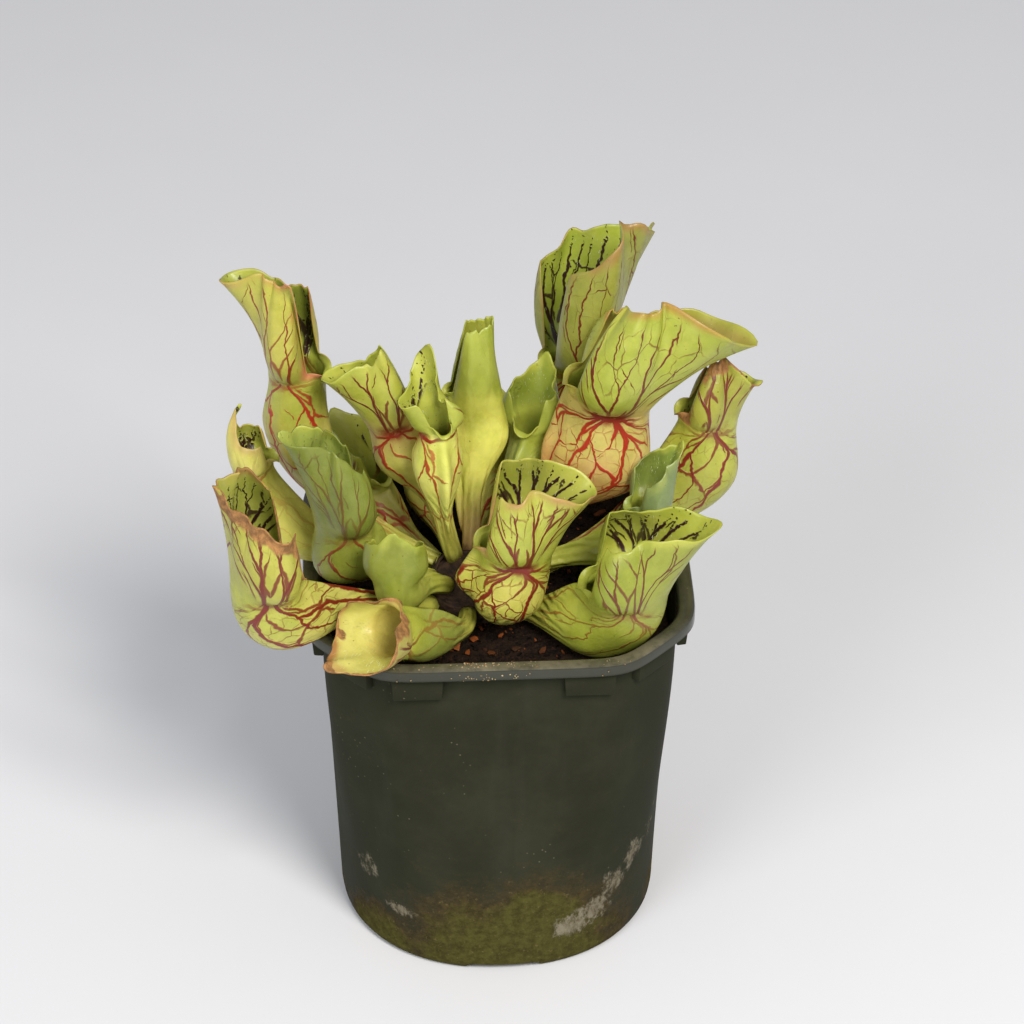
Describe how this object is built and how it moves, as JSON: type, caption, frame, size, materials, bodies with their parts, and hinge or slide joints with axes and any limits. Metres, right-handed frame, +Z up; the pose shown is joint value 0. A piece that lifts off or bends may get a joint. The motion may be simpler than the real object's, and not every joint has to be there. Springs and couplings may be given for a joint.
{
  "type": "potted pitcher plant",
  "caption": "Purple pitcher plant with hooded, veined pitcher leaves around a low rhizome, rooted in peat in a square black nursery pot with a turned-out rim.",
  "frame": {"origin": "middle of the pot's flat underside", "axes": "+Z up, the pot's sides square to X and Y, the plant's pictured front towards -Y"},
  "size_m": [0.1812, 0.1541, 0.2407],
  "materials": {
    "pot_plastic": "black moulded plastic, dusty, with moss and lime stains",
    "peat": "moist peat with bark and grit",
    "rhizome": "rough, scaly",
    "pitcher_leaf": "satin leaf skin, yellow-green with dark red veins"
  },
  "bodies": {
    "root": {"pot": "pot_plastic", "peat": "peat", "crown": "rhizome", "pitcher_back_left_tall": "pitcher_leaf", "pitcher_back_right_tall": "pitcher_leaf", "pitcher_centre_left": "pitcher_leaf", "pitcher_centre_right": "pitcher_leaf", "pitcher_centre_upright": "pitcher_leaf", "pitcher_far_left": "pitcher_leaf", "pitcher_far_right": "pitcher_leaf", "pitcher_front_centre": "pitcher_leaf", "pitcher_front_left_lying": "pitcher_leaf", "pitcher_front_left_small": "pitcher_leaf", "pitcher_front_right": "pitcher_leaf", "pitcher_left_dull": "pitcher_leaf", "pitcher_left_pointed": "pitcher_leaf", "pitcher_left_upper": "pitcher_leaf", "pitcher_rear_left": "pitcher_leaf", "pitcher_rear_middle": "pitcher_leaf", "pitcher_rear_right": "pitcher_leaf", "pitcher_right_large": "pitcher_leaf", "pitcher_right_young": "pitcher_leaf"}
  },
  "joints": []
}
